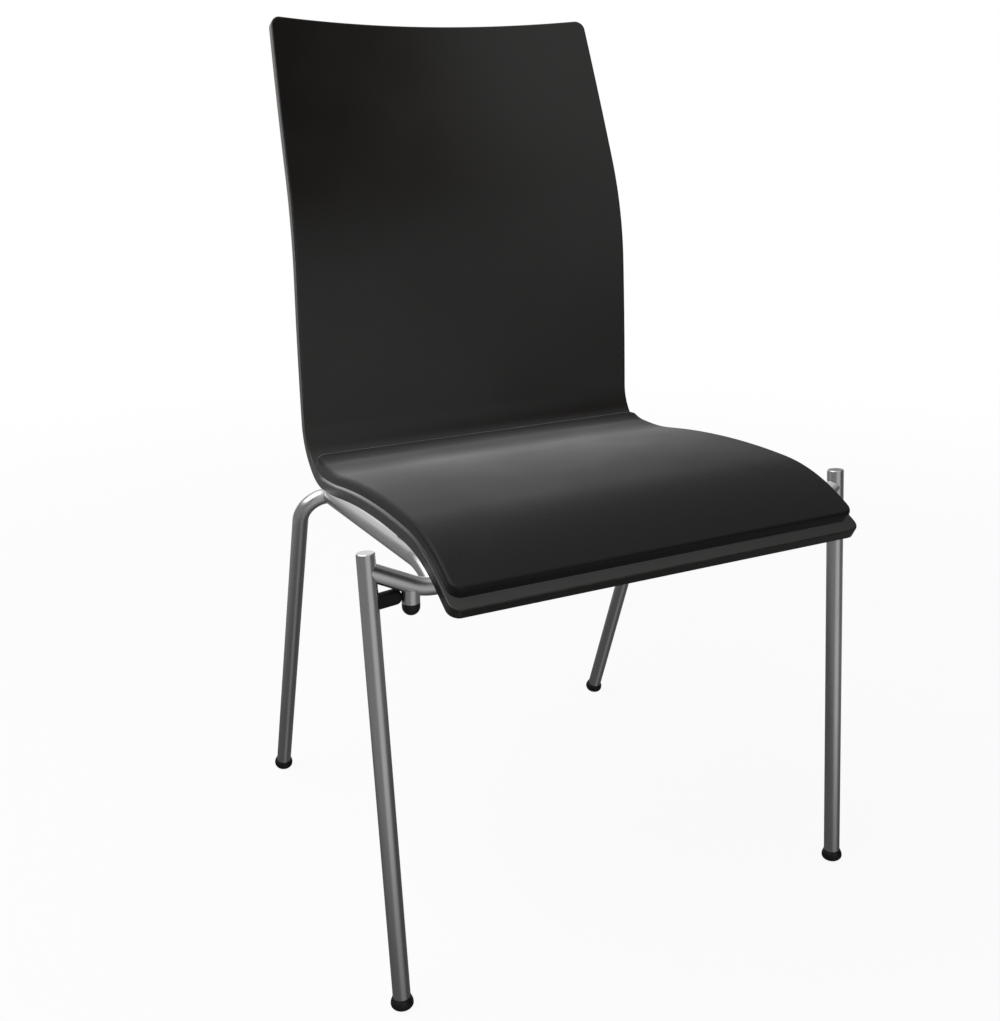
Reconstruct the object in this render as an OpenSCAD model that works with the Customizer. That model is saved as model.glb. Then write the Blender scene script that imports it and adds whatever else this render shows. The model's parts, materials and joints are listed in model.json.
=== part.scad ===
// Stacking choir chair: a welded frame of bent round tube carries a one-piece moulded
// plywood seat and back with an upholstered seat pad.
// X runs across the chair, the sitter faces -Y and Z is up. The floor is at zero and the
// origin lies under the middle of the whole chair.
// Right and left are the sitter's: right is towards -X. One-sided pieces are drawn on the
// right and mirrored to the left.

/* [Frame tube] */
// Outside diameter of every frame tube
tube_d = 18; // [16:0.5:20]
// Wall thickness of the frame tube
tube_wall = 2; // [1.5:0.25:2.5]

/* [Legs] */
// Distance from the side of the seat's front to the axis of a front leg
front_leg_gap = 43.5; // [41:0.5:50]
// How much nearer to the middle a rear leg's axis stands than a front leg's
rear_leg_inset = 32.5; // [26:0.5:38]
// Distance from the front feet to the rear feet
feet_depth = 498.9; // [480:0.1:520]
// Height of the capped tops of the front legs above the axes of the cross tubes
front_leg_rise = 43; // [39:0.5:60]
// How far the top of a front leg stands behind its foot
front_leg_setback = 54.8; // [40:0.2:65]
// Lean of the rear legs from upright, in degrees
rear_leg_lean = 19.8; // [17:0.1:21]
// Bend radius of the rear leg tube at its axis
rear_bend_r = 29; // [27:0.5:36]

/* [Seat frame] */
// Height of the axes of both cross tubes under the seat
cross_tube_z = 426.5; // [400:0.5:460]
// Height by which the front cross tube rises to the axes of the front legs
front_cross_rise = 26; // [22:0.5:28]
// Slope of the ends of the front cross tube, in degrees
front_cross_dip = 26; // [22:0.5:30]
// Bend radius of the front cross tube at its axis
front_cross_bend_r = 57; // [50:1:62]
// Distance from the axis of a rear leg in to the axis of a side rail
rail_inset = 32.5; // [31:0.5:40]
// Slope of a side rail where it comes down to the front cross tube, in degrees
rail_fall = 32; // [26:1:38]
// Distance from the front cross tube back to the knee of a side rail
rail_knee_gap = 22.9; // [21:0.1:30]
// Bend radius of a side rail at its axis
rail_bend_r = 70; // [50:1:76]

/* [Moulded shell] */
// Thickness of the laminated shell
shell_t = 12; // [10:0.5:13]
// Radius rounding the shell's edges
shell_edge_r = 1.2; // [0.6:0.2:2]
// Width of the seat at its front lip
seat_front_w = 463; // [440:1:470]
// How far each side is drawn in from the front of the seat to the foot of the back
waist_taper = 13.5; // [8:0.5:18]
// How far each side is drawn in from the foot of the back to its top
top_taper = 18; // [8:0.5:26]
// Corner radius at the front of the seat
front_corner_r = 12; // [8:1:24]
// Corner radius at the top of the back
top_corner_r = 11; // [8:1:24]
// Distance of the front lip forward of the front feet
lip_reach = 36.2; // [20:0.1:45]
// Slope of the front lip, in degrees
lip_slope = 27.3; // [24:0.1:30]
// Length of the straight stretch at the front lip
lip_len = 34.3; // [28:0.1:40]
// Radius of the crest at the front of the seat
crest_r = 182.8; // [170:0.2:200]
// Slope where the crest meets the long part of the seat, in degrees
crest_end_slope = 0.3; // [0:0.1:2]
// Steepest slope of the seat down towards the back, in degrees
seat_slope = 11.2; // [10:0.1:12]
// Radius of the hollow at the rear of the seat
hollow_r = 485; // [460:5:510]
// Slope of the seat where it meets the bend, in degrees
bend_slope = 3.9; // [3:0.1:5]
// Distance from the start of the bend to the axis of the rear cross tube
bend_lead = 3.2; // [1:0.2:8]
// Radius of the bend from the seat to the back
bend_r = 57.9; // [52:0.1:62]
// Recline of the lower back from upright, in degrees
low_recline = 2.9; // [1:0.1:5]
// Length of the straight lower back
low_back_len = 160.7; // [120:0.1:180]
// Radius of the curve that tips the upper back to the rear
lumbar_r = 386.4; // [340:0.2:420]
// Recline of the upper back from upright, in degrees
top_recline = 21.1; // [16:0.1:24]
// Length of the straight upper back
top_back_len = 174.5; // [150:0.5:200]
// Depth of the hollow across the top of the back
back_hollow = 25; // [15:0.5:32]

/* [Seat pad] */
// Height of the pad above the shell at its edge
pad_h = 12.5; // [11:0.5:15]
// Extra height of the pad's crown in its middle
pad_crown = 2; // [0:0.5:4]
// Radius rounding the pad's upper edge
pad_edge_r = 4; // [3:0.5:6]
// Width of the shell's ledge beside the pad
pad_side_inset = 4.5; // [3:0.5:8]
// How far each side of the pad is drawn in at its middle
pad_draw_in = 1; // [0:0.25:2]
// Distance along the shell from the front lip to the pad
pad_front_inset = 13; // [11:0.5:20]
// Corner radius at the front of the pad
pad_front_corner_r = 13; // [12:1:32]
// Corner radius at the rear of the pad
pad_rear_corner_r = 12; // [10:1:20]
// How far up the bend the pad reaches, as a share of the bend
pad_rise_share = 0.46; // [0.3:0.02:0.5]
// Thickness of the carrier board in the pad
board_t = 4; // [3:0.5:4.5]
// Distance from the pad's edge to the carrier board
board_inset = 8; // [7.5:0.5:12]

/* [Glides and caps] */
// Radius of the round body of a glide at its widest
glide_r = 11.6; // [11:0.1:12.4]
// Height of the widest part of a glide above the floor
glide_centre_z = 6; // [5.5:0.25:7]
// Height of the top of a glide's collar above its widest part
glide_collar = 7; // [6.5:0.25:8]
// Thickness of a glide's collar round the tube
glide_collar_t = 0.7; // [0.6:0.1:1]
// Distance from the floor to the tube's end, along the leg
glide_sole = 5.5; // [5:0.25:6.5]
// Length of the plugs that push into the tubes
plug_len = 16; // [10:1:22]
// Thickness of the caps on the front legs
leg_cap_t = 2; // [1.5:0.25:3]
// Chamfer on the rim of a cap
leg_cap_chamfer = 0.8; // [0.4:0.1:1.2]

/* [Stacking pegs and buffers] */
// Outside diameter of a stacking peg
peg_d = 17.5; // [15:0.5:17.5]
// Distance from the axis of a front leg in to a stacking peg
peg_inset = 41.5; // [40:0.5:44]
// Depth of a stacking peg's tip below the axes of the cross tubes
peg_drop = 25; // [23.5:0.5:28]
// Visible height of the black cap on a peg, its dome included
peg_cap_h = 13; // [10:0.5:14]
// Diameter of a buffer sleeve
buffer_d = 15.5; // [13:0.5:16]
// Depth of the buffers' axes below the axes of the cross tubes
buffer_drop = 5.6; // [4.6:0.1:6]
// Length from the axis of a front leg to a buffer's tip
buffer_reach = 33.5; // [31:0.5:34]
// Angle by which a buffer points to the rear, in degrees
buffer_yaw = 10.5; // [8:0.5:13]
// Radius rounding a buffer's tip
buffer_tip_r = 6; // [3:0.5:6.5]
// Diameter of the steel pin inside a buffer
buffer_pin_d = 8; // [6:0.5:9]

/* [Seat fixings] */
// Thickness of the steel mounting plates
plate_t = 3; // [2.5:0.25:4]
// Width of a mounting plate along the tube that carries it
plate_w = 34; // [28:1:40]
// Distance from the axis of a side rail in to a front fixing
front_fixing_inset = 26; // [24:0.5:28]
// Distance along the shell from the front lip to the front fixings
front_fixing_s = 166; // [155:1:175]
// Distance from the axis of a side rail in to a rear fixing
rear_fixing_inset = 90; // [60:1:130]
// Distance from the rear fixings forward to the axis of the rear cross tube
rear_fixing_gap = 20; // [19:0.5:24]
// Diameter of the fixing screws' shanks
screw_d = 6; // [5:0.5:6.5]
// Diameter of the fixing screws' heads
screw_head_d = 11; // [10:0.5:13]
// Height of the fixing screws' heads
screw_head_h = 3.3; // [2.5:0.1:4]
// Outside diameter of the threaded inserts in the shell
insert_d = 9; // [8.5:0.25:11]
// Length of the threaded inserts
insert_len = 7.5; // [6:0.25:8]
// Diameter of the spacers under the front of the shell
spacer_d = 22; // [18:1:26]
// Shank diameter of the screws that hold the pad
pad_screw_d = 4.5; // [4:0.25:5.5]
// Head diameter of the screws that hold the pad
pad_screw_head_d = 9; // [8:0.5:10.5]
// Head height of the screws that hold the pad
pad_screw_head_h = 2.6; // [2:0.1:3]
// Distance from the axis of a side rail in to a pad screw
pad_screw_inset = 100; // [60:2:130]
// Distance along the shell from the front lip to the front pad screws
pad_screw_front_s = 96; // [80:2:110]
// Distance along the shell from the rear pad screws to the start of the bend
pad_screw_rear_gap = 88; // [70:2:120]

/* [Hidden] */

// Overrun of every cut beyond the piece it cuts
over = 2;
// Clearance around a plug, pin or screw in its hole
fit_gap = 0.05;
// Clearance between a curved sheet and what it lies on
sheet_gap = 0.3;
// Clearance around a screw's shank in a plate or spacer
screw_gap = 0.25;
// Distance from the axis of the tube it meets to the blunt tips of a coped tube end
cope_gap = 2;
// How much thinner a tube is in its bends, and how far its straight ends lap over a bend
bend_thin = 0.05;
bend_lap = 1;
// Step to which a place along the outline is found
outline_step = 0.001;
// Sides of round solids and of the sections that are turned
round_n = 64;
// Largest angle of one facet of the shell along its outline, in degrees, and its largest length
facet_angle = 8;
facet_len = 34;
// Where across the shell and across the pad their facets lie, as shares of the half width
across_shares = [0.14, 0.28, 0.42, 0.56, 0.7, 0.84];
pad_across_shares = [0.3, 0.6, 0.85];
// Where the facets that round an edge lie, as shares of the rounding
rim_shares = [1, 0.3, 0];
// Width of the steep wall round the hollow under the pad
pocket_wall = 0.5;
// Where the facets that round a corner lie, as shares of the corner
corner_shares = [0.5, 1];

tube_r = tube_d / 2;
bore_r = tube_r - tube_wall;
// Places of the legs, rails and fixings across the chair, each from its neighbour
front_leg_x = seat_front_w / 2 + front_leg_gap;
rear_leg_x = front_leg_x - rear_leg_inset;
rail_x = rear_leg_x - rail_inset;
front_fixing_x = rail_x - front_fixing_inset;
rear_fixing_x = rail_x - rear_fixing_inset;
pad_screw_x = rail_x - pad_screw_inset;
front_leg_top = cross_tube_z + front_leg_rise;
front_lean = atan(front_leg_setback / front_leg_top);
front_leg_len = front_leg_top / cos(front_lean);
// Axis heights measured along the leaning planes of the front and the rear legs
front_root_w = (cross_tube_z + front_cross_rise) / cos(front_lean);
front_cross_w = cross_tube_z / cos(front_lean);
rear_cross_w = cross_tube_z / cos(rear_leg_lean);
front_cross_y = cross_tube_z * tan(front_lean);
rear_cross_y = feet_depth - cross_tube_z * tan(rear_leg_lean);
// Straight sloping end and level start of the front cross tube
front_drop = front_root_w - front_cross_w;
front_slope_len = (front_drop - front_cross_bend_r * (1 - cos(front_cross_dip))) / sin(front_cross_dip);
front_level_x = front_leg_x - front_slope_len * cos(front_cross_dip)
  - front_cross_bend_r * sin(front_cross_dip);
// Side rail: it rises from the rear cross tube to the knee, where its bend is
rail_rear_run = rear_cross_y - front_cross_y - rail_knee_gap;
rail_rise = atan(rail_knee_gap * tan(rail_fall) / rail_rear_run);
rail_turn = rail_rise + rail_fall;
rail_tangent = rail_bend_r * tan(rail_turn / 2);
rail_rear_len = rail_rear_run / cos(rail_rise) - rail_tangent;
rail_front_len = rail_knee_gap / cos(rail_fall) - rail_tangent;
rail_bend_y = rear_cross_y - rail_rear_len * cos(rail_rise);
rail_bend_z = cross_tube_z + rail_rear_len * sin(rail_rise);

// Outline of the shell from the side, from the front lip to the top of the back, along the
// middle of the ply at its side edge. Each run is [length, heading at start, heading at end],
// with headings in degrees from +Y towards +Z.
function arc_len(r, turn) = r * abs(turn) * PI / 180;
// The long part of the seat spans from the crest to the hollow, which ends at the bend
crest_end_y = lip_len * cos(lip_slope) - lip_reach + crest_r * (sin(lip_slope) - sin(crest_end_slope));
hollow_y = rear_cross_y - bend_lead - hollow_r * (sin(seat_slope) - sin(bend_slope));
seat_r = (hollow_y - crest_end_y) / (sin(crest_end_slope) + sin(seat_slope));
runs = [
  [lip_len, lip_slope, lip_slope],
  [arc_len(crest_r, lip_slope - crest_end_slope), lip_slope, crest_end_slope],
  [arc_len(seat_r, crest_end_slope + seat_slope), crest_end_slope, -seat_slope],
  [arc_len(hollow_r, seat_slope - bend_slope), -seat_slope, -bend_slope],
  [arc_len(bend_r, bend_slope + 90 - low_recline), -bend_slope, 90 - low_recline],
  [low_back_len, 90 - low_recline, 90 - low_recline],
  [arc_len(lumbar_r, top_recline - low_recline), 90 - low_recline, 90 - top_recline],
  [top_back_len, 90 - top_recline, 90 - top_recline]
];
// Point reached from p after length t of an arc that turns from heading a to heading b
function arc_step(p, t, a, b) =
  let (half = abs(b - a) / 2, chord = half == 0 ? t : t * sin(half) / (half * PI / 180))
  p + chord * [cos((a + b) / 2), sin((a + b) / 2)];
// Distance and place at the start of each run
function run_starts(i = 0, s = 0, p = [-lip_reach, 0]) =
  i > len(runs) ? [] : concat([[s, p]],
    i == len(runs) ? [] : run_starts(i + 1, s + runs[i][0], arc_step(p, runs[i][0], runs[i][1], runs[i][2])));
starts = run_starts();
bend_start_s = starts[4][0];
waist_s = starts[5][0];
top_s = starts[len(runs)][0];
function run_at(s) = max([for (i = [0 : len(runs) - 1]) if (i == 0 || s >= starts[i][0]) i]);
function heading(s) =
  let (i = run_at(s), run = runs[i])
  run[1] + (run[2] - run[1]) * (s - starts[i][0]) / run[0];
// Point of the outline at distance s, with the lip at height zero
function low_spine(s) =
  let (i = run_at(s))
  arc_step(starts[i][1], s - starts[i][0], runs[i][1], heading(s));
// Distance along the seat at which the outline is y from the front feet
function s_at_y(y, a = 0, b = waist_s) =
  let (m = (a + b) / 2)
  b - a < outline_step ? m : low_spine(m)[0] < y ? s_at_y(y, m, b) : s_at_y(y, a, m);
// The shell is lifted to lie on the rear cross tube
lift = cross_tube_z + tube_r + sheet_gap + shell_t / 2 - low_spine(s_at_y(rear_cross_y))[1];
function spine(s) = low_spine(s) + [0, lift];
// The shell narrows evenly to the middle of the bend, and then more and more to its top
narrow_s = (bend_start_s + waist_s) / 2;
function half_w(s) =
  let (u = (s - narrow_s) / (top_s - narrow_s))
  s < narrow_s
    ? seat_front_w / 2 - waist_taper * s / narrow_s
    : seat_front_w / 2 - waist_taper - top_taper * u * u;
function ease(u) = u < 0 ? 0 : u > 1 ? 1 : u * u * (3 - 2 * u);
function hollow(s) = back_hollow * ease((s - waist_s) / (top_s - waist_s));
// Point at distance s along the outline, x across, and h in front of the middle of the ply
function on_sheet(s, x, h) =
  let (p = spine(s), a = heading(s), f = x / half_w(s), d = h - hollow(s) * (1 - f * f))
  [x, p[0] - sin(a) * d, p[1] + cos(a) * d];

// A sheet reaches from s0 to s1 with corner radii r0 and r1. Its half width is half_w less an
// inset. The list [s0, s1, r0, r1, inset, draw] holds these sizes, and draw narrows its middle.
function corner_cut(r, b) = b >= r ? 0 : r - sqrt(r * r - (r - b) * (r - b));
function sheet_w(o, s) =
  half_w(s) - o[4] - o[5] * sin(180 * (s - o[0]) / (o[1] - o[0]))
  - corner_cut(o[2], s - o[0]) - corner_cut(o[3], o[1] - s);
// Distance of a point inside the sheet from its outline
function edge_gap(o, s, x) =
  let (full = half_w(s) - o[4] - o[5] * sin(180 * (s - o[0]) / (o[1] - o[0])),
       a = full - abs(x),
       b = min(s - o[0], o[1] - s),
       r = s - o[0] < o[1] - s ? o[2] : o[3])
  a < r && b < r ? r - norm([r - a, r - b]) : min(a, b);
// Height lost at distance d from the outline where an edge is rounded by radius r
function rounding(r, d) = d >= r ? 0 : r - sqrt(max(0, r * r - (r - d) * (r - d)));
// Rows of a sheet along the outline: rim, corner, then facets of every run in between. The
// list rim holds distances from the edge, the largest first.
function sheet_rows(o, rim) =
  let (r = rim[0],
       last = [for (d = rim) o[1] - d],
       first = [for (i = [len(rim) - 1 : -1 : 0]) o[0] + rim[i]],
       near = [for (f = corner_shares) o[0] + r + f * (o[2] - r + over)],
       far = [for (f = corner_shares) o[1] - r - f * (o[3] - r + over)],
       inner = [for (i = [0 : len(runs) - 1])
                let (n = ceil(max(abs(runs[i][2] - runs[i][1]) / facet_angle, runs[i][0] / facet_len)))
                for (j = [0 : n - 1])
                let (s = starts[i][0] + runs[i][0] * j / n)
                if (s > near[1] + over && s < far[1] - over) s])
  concat(first, near, inner, [far[1], far[0]], last);
// Columns of a sheet at row s
function sheet_cols(o, rim, shares, s) =
  let (w = sheet_w(o, s),
       side = concat([for (f = shares) f * (w - rim[0])], [for (d = rim) w - d]))
  concat([for (i = [len(side) - 1 : -1 : 0]) -side[i]], [0], side);
function col_count(rim, shares) = 2 * (len(rim) + len(shares)) + 1;
// Closed faces of a front grid and a back grid of n rows and m columns
function grid_faces(n, m) =
  let (k = n * m)
  concat(
    [for (i = [0 : n - 2]) for (j = [0 : m - 2])
      each [[i * m + j, i * m + m + j, i * m + m + j + 1], [i * m + j, i * m + m + j + 1, i * m + j + 1]]],
    [for (i = [0 : n - 2]) for (j = [0 : m - 2])
      each [[k + i * m + j, k + i * m + m + j + 1, k + i * m + m + j],
            [k + i * m + j, k + i * m + j + 1, k + i * m + m + j + 1]]],
    [for (i = [0 : n - 2])
      each [[i * m, k + i * m, k + i * m + m], [i * m, k + i * m + m, i * m + m]]],
    [for (i = [0 : n - 2])
      each [[i * m + m - 1, k + i * m + 2 * m - 1, k + i * m + m - 1],
            [i * m + m - 1, i * m + 2 * m - 1, k + i * m + 2 * m - 1]]],
    [for (j = [0 : m - 2])
      each [[j, k + j + 1, k + j], [j, j + 1, k + j + 1]]],
    [for (j = [0 : m - 2])
      each [[k - m + j, 2 * k - m + j, 2 * k - m + j + 1], [k - m + j, 2 * k - m + j + 1, k - m + j + 1]]]);

// The whole shell and the pad
shell_o = [0, top_s, front_corner_r, top_corner_r, 0, 0];
shell_rim = shell_edge_r * rim_shares;
shell_rows = sheet_rows(shell_o, shell_rim);
function shell_face(side) =
  [for (s = shell_rows) for (x = sheet_cols(shell_o, shell_rim, across_shares, s))
    on_sheet(s, x, side * (shell_t / 2 - rounding(shell_edge_r, edge_gap(shell_o, s, x))))];
shell_front = shell_face(1);
shell_back = shell_face(-1);
pad_end_s = bend_start_s + pad_rise_share * (waist_s - bend_start_s);
pad_o = [pad_front_inset, pad_end_s, pad_front_corner_r, pad_rear_corner_r, pad_side_inset, pad_draw_in];
board_o = [pad_front_inset + board_inset, pad_end_s - board_inset, pad_front_corner_r - board_inset,
  pad_rear_corner_r, pad_side_inset + board_inset, pad_draw_in];
// Levels of the pad above the middle of the ply
pad_low = shell_t / 2 + sheet_gap;
board_top = pad_low + board_t;

// The chair's depth runs from its front lip to the top of its back
front_y = min([for (p = concat(shell_front, shell_back)) p[1]]);
rear_y = max([for (p = concat(shell_front, shell_back)) p[1]]);
mid_y = (front_y + rear_y) / 2;

// Fixings as [place across, distance along the outline]
rear_fixing_s = s_at_y(rear_cross_y - rear_fixing_gap);
fixings = [[-front_fixing_x, front_fixing_s], [front_fixing_x, front_fixing_s],
  [-rear_fixing_x, rear_fixing_s], [rear_fixing_x, rear_fixing_s]];
pad_screw_rear_s = bend_start_s - pad_screw_rear_gap;
pad_screw_places = [for (s = [pad_screw_front_s, pad_screw_rear_s]) for (x = [-pad_screw_x, pad_screw_x]) [x, s]];
// Depth of the rail's top below the underside of the shell at the front fixings
front_fixing_y = spine(front_fixing_s)[0];
rail_top_z = cross_tube_z + (rear_cross_y - front_fixing_y) * tan(rail_rise) + tube_r / cos(rail_rise);
plate_sink = plate_t / 3;
front_gap = on_sheet(front_fixing_s, front_fixing_x, -shell_t / 2)[2] - rail_top_z;
spacer_h = front_gap - plate_t + plate_sink - 2 * sheet_gap;

module placed() { translate([0, -mid_y, 0]) children(); }
module on_side(side) { mirror([side > 0 ? 1 : 0, 0, 0]) children(); }
module front_plane() { rotate([-front_lean, 0, 0]) children(); }
module rear_plane() { translate([0, feet_depth, 0]) rotate([rear_leg_lean, 0, 0]) children(); }
module on_shell(x, s, h) { translate(on_sheet(s, x, h)) rotate([heading(s), 0, 0]) children(); }
module rod(r, h) { cylinder(r = r, h = h, $fn = round_n); }
// Bend of a tube round the origin of the XY plane, from angle a on by turn
module bend_xy(bend, r, a, turn) {
  rotate([0, 0, a]) rotate_extrude(angle = turn, $fn = 2 * round_n)
    translate([bend, 0]) circle(r = r - bend_thin, $fn = round_n);
}

// Front legs and their caps, along the leaning plane of the front legs
module front_leg_solid(r, extra) {
  translate([-front_leg_x, 0, glide_sole - extra])
    rod(r, front_leg_len - leg_cap_t - glide_sole + 2 * extra);
}
module front_leg(side) {
  color("silver") placed() on_side(side) front_plane() difference() {
    front_leg_solid(tube_r, 0);
    front_leg_solid(bore_r, over);
  }
}
module front_leg_cap(side) {
  color("silver") placed() on_side(side) front_plane()
    translate([-front_leg_x, 0, front_leg_len - leg_cap_t]) {
      rod(tube_r, leg_cap_t - leg_cap_chamfer);
      translate([0, 0, leg_cap_t - leg_cap_chamfer])
        cylinder(r1 = tube_r, r2 = tube_r - leg_cap_chamfer, h = leg_cap_chamfer, $fn = round_n);
      translate([0, 0, -plug_len]) rod(bore_r - fit_gap, plug_len);
    }
}

// Front cross tube: level under the seat, with both ends sloping up to the front legs
module front_cross_solid(r) {
  for (side = [-1, 1]) on_side(side) {
    translate([-front_leg_x, 0, front_root_w]) rotate([0, 90 + front_cross_dip, 0])
      translate([0, 0, cope_gap]) rod(r, front_slope_len - cope_gap + bend_lap);
    translate([-front_level_x, 0, front_cross_w + front_cross_bend_r]) rotate([90, 0, 0])
      bend_xy(front_cross_bend_r, r, 270 - front_cross_dip, front_cross_dip);
  }
  translate([-front_level_x - bend_lap, 0, front_cross_w]) rotate([0, 90, 0])
    rod(r, 2 * (front_level_x + bend_lap));
}
module front_cross_tube() {
  color("silver") placed() front_plane() difference() {
    front_cross_solid(tube_r);
    front_cross_solid(bore_r);
    for (side = [-1, 1]) on_side(side) front_leg_solid(tube_r, over);
  }
}

// Rear legs and rear cross tube, one tube bent to an inverted U
module rear_frame_solid(r, extra) {
  for (side = [-1, 1]) on_side(side) {
    translate([-rear_leg_x, 0, glide_sole - extra])
      rod(r, rear_cross_w - rear_bend_r - glide_sole + extra + bend_lap);
    translate([rear_bend_r - rear_leg_x, 0, rear_cross_w - rear_bend_r]) rotate([90, 0, 0])
      bend_xy(rear_bend_r, r, 90, 90);
  }
  translate([rear_bend_r - rear_leg_x - bend_lap, 0, rear_cross_w]) rotate([0, 90, 0])
    rod(r, 2 * (rear_leg_x - rear_bend_r + bend_lap));
}
module rear_leg_frame() {
  color("silver") placed() rear_plane() difference() {
    rear_frame_solid(tube_r, 0);
    rear_frame_solid(bore_r, over);
  }
}

// Side rails, from the rear cross tube up and forwards, then down to the front cross tube
module rail_solid(r) {
  translate([-rail_x, rear_cross_y, cross_tube_z]) rotate([90 - rail_rise, 0, 0])
    translate([0, 0, cope_gap]) rod(r, rail_rear_len - cope_gap + bend_lap);
  translate([-rail_x, rail_bend_y - rail_bend_r * sin(rail_rise), rail_bend_z - rail_bend_r * cos(rail_rise)])
    rotate([90, 0, 90]) bend_xy(rail_bend_r, r, 90 - rail_rise, rail_turn);
  translate([-rail_x, front_cross_y, cross_tube_z]) rotate([rail_fall - 90, 0, 0])
    translate([0, 0, cope_gap]) rod(r, rail_front_len - cope_gap + bend_lap);
}
module side_rail(side) {
  color("silver") placed() on_side(side) difference() {
    rail_solid(tube_r);
    rail_solid(bore_r);
    rear_plane() translate([-rear_leg_x, 0, rear_cross_w]) rotate([0, 90, 0])
      rod(tube_r, 2 * rear_leg_x);
    front_plane() front_cross_solid(tube_r);
  }
}

// Glides: round bodies pushed on to the leg ends, with a thin collar, cut flat at the floor
// Depth of the round below a glide's widest part, as a share of the widest part's height
glide_round_share = 1.17;
module glide_body(lean) {
  axis_z = glide_centre_z / cos(lean);
  intersection() {
    translate([-glide_r, -2 * glide_r, 0]) cube([2 * glide_r, 4 * glide_r, 4 * glide_r + plug_len]);
    rotate([lean, 0, 0]) {
      difference() {
        translate([0, 0, axis_z]) {
          intersection() {
            sphere(r = glide_r, $fn = round_n);
            rod(2 * glide_r, glide_collar);
          }
          intersection() {
            scale([1, 1, glide_round_share * axis_z / glide_r]) sphere(r = glide_r, $fn = round_n);
            translate([0, 0, -glide_r]) rod(2 * glide_r, glide_r + over);
          }
          rod(tube_r + glide_collar_t, glide_collar);
        }
        translate([0, 0, glide_sole]) rod(tube_r + fit_gap, 2 * glide_r);
      }
      translate([0, 0, glide_sole - fit_gap]) rod(bore_r - fit_gap, plug_len);
    }
  }
}
module glide_front(side) {
  color("#1c1c1c") placed() on_side(side) translate([-front_leg_x, 0, 0])
    glide_body(-front_lean);
}
module glide_rear(side) {
  color("#1c1c1c") placed() on_side(side) translate([-rear_leg_x, feet_depth, 0])
    glide_body(rear_leg_lean);
}

// Stacking pegs: short upright tubes under the bends of the front cross tube, with domed caps
peg_r = peg_d / 2;
peg_bore_r = peg_r - tube_wall;
peg_x = front_leg_x - peg_inset;
peg_tip_z = cross_tube_z - peg_drop;
// Length of the plug of a peg's cap, as a share of the room under the cross tube
peg_plug_share = 0.9;
peg_plug_len = peg_plug_share * (peg_drop - peg_cap_h - tube_r);
module stacking_peg(side) {
  color("silver") placed() on_side(side) difference() {
    translate([-peg_x, front_cross_y, peg_tip_z + peg_cap_h]) difference() {
      rod(peg_r, cross_tube_z + peg_r / 4 - peg_tip_z - peg_cap_h);
      translate([0, 0, -over]) rod(peg_bore_r, cross_tube_z - peg_tip_z);
    }
    front_plane() front_cross_solid(tube_r);
  }
}
module peg_cap(side) {
  color("#1c1c1c") placed() on_side(side) translate([-peg_x, front_cross_y, peg_tip_z]) {
    intersection() {
      translate([0, 0, peg_r]) sphere(r = peg_r, $fn = round_n);
      rod(peg_r + over, peg_r);
    }
    translate([0, 0, peg_r]) rod(peg_r, peg_cap_h - peg_r);
    translate([0, 0, peg_cap_h]) rod(peg_bore_r - fit_gap, peg_plug_len);
  }
}

// Buffers: rubber sleeves on steel pins welded to the inner sides of the front legs
buffer_r = buffer_d / 2;
buffer_pin_r = buffer_pin_d / 2;
buffer_z = cross_tube_z - buffer_drop;
module at_buffer() {
  translate([-front_leg_x, buffer_z * tan(front_lean), buffer_z])
    rotate([0, 0, buffer_yaw]) rotate([0, 90, 0]) children();
}
module buffer_pin(side) {
  color("silver") placed() on_side(side) difference() {
    at_buffer() rod(buffer_pin_r, buffer_reach - buffer_tip_r - buffer_pin_r);
    front_plane() front_leg_solid(tube_r, over);
  }
}
module buffer_sleeve(side) {
  color("#1c1c1c") placed() on_side(side) difference() {
    at_buffer() rotate_extrude($fn = 2 * round_n) {
      square([buffer_r, buffer_reach - buffer_tip_r]);
      translate([0, buffer_reach - 2 * buffer_tip_r]) square([buffer_r - buffer_tip_r, 2 * buffer_tip_r]);
      translate([buffer_r - buffer_tip_r, buffer_reach - buffer_tip_r]) intersection() {
        circle(r = buffer_tip_r, $fn = round_n);
        square(buffer_tip_r);
      }
    }
    at_buffer() rod(buffer_pin_r + fit_gap, buffer_reach - buffer_tip_r - buffer_pin_r + fit_gap);
    front_plane() front_leg_solid(tube_r + fit_gap, over);
  }
}

// Mounting plates: the front pair stands on the side rails, the rear pair before the rear tube
module front_plate(side) {
  color("silver") placed() on_side(side) difference() {
    on_shell(-front_fixing_x, front_fixing_s, -shell_t / 2 - sheet_gap - spacer_h - sheet_gap)
      difference() {
        translate([front_fixing_x - rail_x, -plate_w / 2, -plate_t])
          cube([rail_x - front_fixing_x + plate_w / 2, plate_w, plate_t]);
        translate([0, 0, -plate_t - over]) rod(screw_d / 2 + screw_gap, plate_t + 2 * over);
      }
    rail_solid(tube_r);
  }
}
module rear_plate(side) {
  color("silver") placed() on_side(side) difference() {
    on_shell(-rear_fixing_x, rear_fixing_s, -shell_t / 2 - sheet_gap) difference() {
      translate([-plate_w / 2, -plate_w / 2, -plate_t])
        cube([plate_w, plate_w / 2 + rear_fixing_gap, plate_t]);
      translate([0, 0, -plate_t - over]) rod(screw_d / 2 + screw_gap, plate_t + 2 * over);
    }
    rear_plane() translate([-rear_leg_x, 0, rear_cross_w]) rotate([0, 90, 0])
      rod(tube_r, 2 * rear_leg_x);
  }
}
module front_spacers() {
  color("#1c1c1c") placed() for (x = [-front_fixing_x, front_fixing_x])
    on_shell(x, front_fixing_s, -shell_t / 2 - sheet_gap - spacer_h) difference() {
      rod(spacer_d / 2, spacer_h);
      translate([0, 0, -over]) rod(screw_d / 2 + screw_gap, spacer_h + 2 * over);
    }
}
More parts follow.
